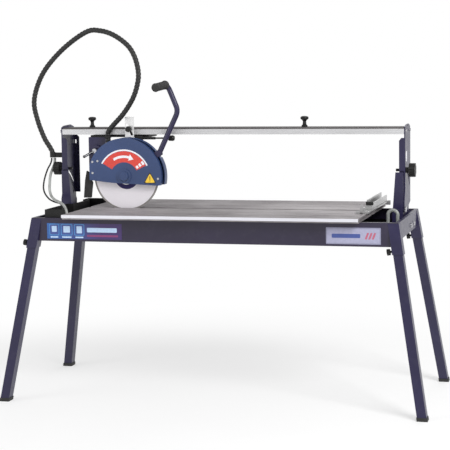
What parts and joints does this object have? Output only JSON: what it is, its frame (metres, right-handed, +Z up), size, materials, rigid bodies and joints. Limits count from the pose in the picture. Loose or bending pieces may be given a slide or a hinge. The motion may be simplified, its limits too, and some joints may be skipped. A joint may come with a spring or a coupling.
{
  "type": "wet tile saw",
  "caption": "Wet tile saw on a four-legged stand: a grooved table over a water tray, with an overhead rail on which a tilting, plunging saw head travels.",
  "frame": {"origin": "on the floor, under the middle of the stand", "axes": "+X along the guide rail, away from the saw head's rest end; +Y from the operator's side to the rear; +Z up"},
  "size_m": [1.5364, 0.6746, 1.3324],
  "materials": {
    "frame_paint": "satin",
    "guard_paint": "satin",
    "label": "matte",
    "support_paint": "satin",
    "table_aluminium": "ribbed satin",
    "bright_aluminium": "satin",
    "steel": "satin",
    "blade_steel": "brushed, with a dark cutting rim",
    "black_plastic": "matte",
    "black_rubber": "matte",
    "hose_rubber": "ribbed",
    "clear_hose": "gloss",
    "copper": "lacquered copper windings",
    "rotor_iron": "laminated",
    "green_plastic": "gloss",
    "red_plastic": "gloss"
  },
  "bodies": {
    "stand": {"front_panel": "frame_paint", "rear_panel": "frame_paint", "end_panels": "frame_paint", "leg_sockets": "frame_paint", "legs": "frame_paint", "foot_caps": "black_rubber", "leg_screws": "black_plastic", "cross_supports": "support_paint", "water_tray": "black_plastic", "tray_fittings": "clear_hose", "pump": "black_plastic", "table_front": "table_aluminium", "table_rear": "table_aluminium", "side_brackets": "frame_paint", "bracket_bolts": "steel", "label_plates": "label", "pump_cable": "black_rubber", "water_hose": "clear_hose"},
    "bridge": {"left_arm": "frame_paint", "right_arm": "frame_paint", "guide_rail": "bright_aluminium", "rail_screws": "steel", "hose_clip": "black_plastic", "hose_sleeve": "hose_rubber"},
    "left_clamp": {"left_clamp_knob": "black_plastic"},
    "right_clamp": {"right_clamp_knob": "black_plastic"},
    "left_stop": {"left_stop_knob": "black_plastic"},
    "right_stop": {"right_stop_knob": "black_plastic"},
    "carriage": {"carriage_beam": "support_paint", "carriage_plate": "frame_paint", "plunge_pin": "steel", "lock_body": "black_plastic", "sleeve_clip": "black_plastic"},
    "left_roller_axle": {"left_rollers": "steel"},
    "right_roller_axle": {"right_rollers": "steel"},
    "travel_lock": {"lock_knob": "black_plastic"},
    "depth_clamp": {"depth_knob": "black_plastic"},
    "plunge_clamp": {"plunge_lever": "steel"},
    "saw_head": {"guard_front": "guard_paint", "guard_rear": "guard_paint", "guard_screws": "steel", "head_arm": "frame_paint", "motor_housing": "guard_paint", "motor_cap": "black_plastic", "stator": "copper", "bearings": "steel", "switch_box": "black_plastic", "handle_tube": "frame_paint", "grip": "black_rubber", "splash_flap": "black_rubber", "depth_plate": "bright_aluminium"},
    "spindle": {"blade": "blade_steel", "blade_clamp": "steel", "motor_shaft": "steel", "rotor": "rotor_iron"},
    "on_button": {"start_button": "green_plastic"},
    "off_button": {"stop_button": "red_plastic"},
    "fence": {"fence_base": "bright_aluminium"},
    "fence_arm": {"fence_ruler": "bright_aluminium"},
    "fence_clamp": {"fence_knob": "black_plastic"}
  },
  "joints": [
    {"name": "bevel_tilt", "type": "hinge", "parent": "stand", "child": "bridge", "pos_m": [0, 0.02, 0.675], "axis": [1, 0, 0], "range_deg": [0, 45], "deforming": ["pump_cable", "water_hose"]},
    {"name": "left_clamp_turn", "type": "hinge", "parent": "stand", "child": "left_clamp", "pos_m": [-0.644, 0.04, 0.812], "axis": [1, 0, 0], "continuous": true},
    {"name": "right_clamp_turn", "type": "hinge", "parent": "stand", "child": "right_clamp", "pos_m": [0.644, 0.04, 0.812], "axis": [1, 0, 0], "continuous": true},
    {"name": "left_stop_turn", "type": "hinge", "parent": "bridge", "child": "left_stop", "pos_m": [-0.54, 0.079, 0.963], "axis": [0, 0, 1], "continuous": true},
    {"name": "right_stop_turn", "type": "hinge", "parent": "bridge", "child": "right_stop", "pos_m": [0.272, 0.079, 0.963], "axis": [0, 0, 1], "continuous": true},
    {"name": "carriage_travel", "type": "slide", "parent": "bridge", "child": "carriage", "axis": [1, 0, 0], "range_m": [-0.06, 0.785], "deforming": ["hose_sleeve"]},
    {"name": "left_roller_turn", "type": "hinge", "parent": "carriage", "child": "left_roller_axle", "pos_m": [-0.5, 0.079, 0.9507], "axis": [0, 1, 0], "continuous": true},
    {"name": "right_roller_turn", "type": "hinge", "parent": "carriage", "child": "right_roller_axle", "pos_m": [-0.34, 0.079, 0.9507], "axis": [0, 1, 0], "continuous": true},
    {"name": "travel_lock_turn", "type": "hinge", "parent": "carriage", "child": "travel_lock", "pos_m": [-0.3, 0.017, 0.926], "axis": [1, 0, 0], "continuous": true},
    {"name": "depth_clamp_turn", "type": "hinge", "parent": "carriage", "child": "depth_clamp", "pos_m": [-0.369, 0.01, 0.96], "axis": [0, 1, 0], "continuous": true},
    {"name": "plunge_clamp_turn", "type": "hinge", "parent": "carriage", "child": "plunge_clamp", "pos_m": [-0.505, 0.005, 0.88], "axis": [0, 1, 0], "range_deg": [0, 60]},
    {"name": "plunge", "type": "hinge", "parent": "carriage", "child": "saw_head", "pos_m": [-0.505, 0.018, 0.88], "axis": [0, -1, 0], "range_deg": [-6, 7]},
    {"name": "spindle_spin", "type": "hinge", "parent": "saw_head", "child": "spindle", "pos_m": [-0.382, 0, 0.786], "axis": [0, -1, 0], "continuous": true},
    {"name": "start_button_press", "type": "slide", "parent": "saw_head", "child": "on_button", "axis": [-1, 0, 0], "range_m": [0, 0.003], "stiffness_N_per_m": 250, "springref_m": -0.002},
    {"name": "stop_button_press", "type": "slide", "parent": "saw_head", "child": "off_button", "axis": [-1, 0, 0], "range_m": [0, 0.003], "stiffness_N_per_m": 250, "springref_m": -0.002},
    {"name": "fence_slide", "type": "slide", "parent": "stand", "child": "fence", "axis": [1, 0, 0], "range_m": [-0.5, 0]},
    {"name": "fence_swivel", "type": "hinge", "parent": "fence", "child": "fence_arm", "pos_m": [0.52, 0.004, 0.68], "axis": [0, 0, 1], "range_deg": [0, 45]},
    {"name": "fence_clamp_turn", "type": "hinge", "parent": "fence", "child": "fence_clamp", "pos_m": [0.52, 0.004, 0.695], "axis": [0, 0, 1], "continuous": true}
  ],
  "couplings": [
    {"joint": "left_roller_turn", "follows": "carriage_travel", "rad_per_m": 117.65},
    {"joint": "right_roller_turn", "follows": "carriage_travel", "rad_per_m": 117.65}
  ]
}
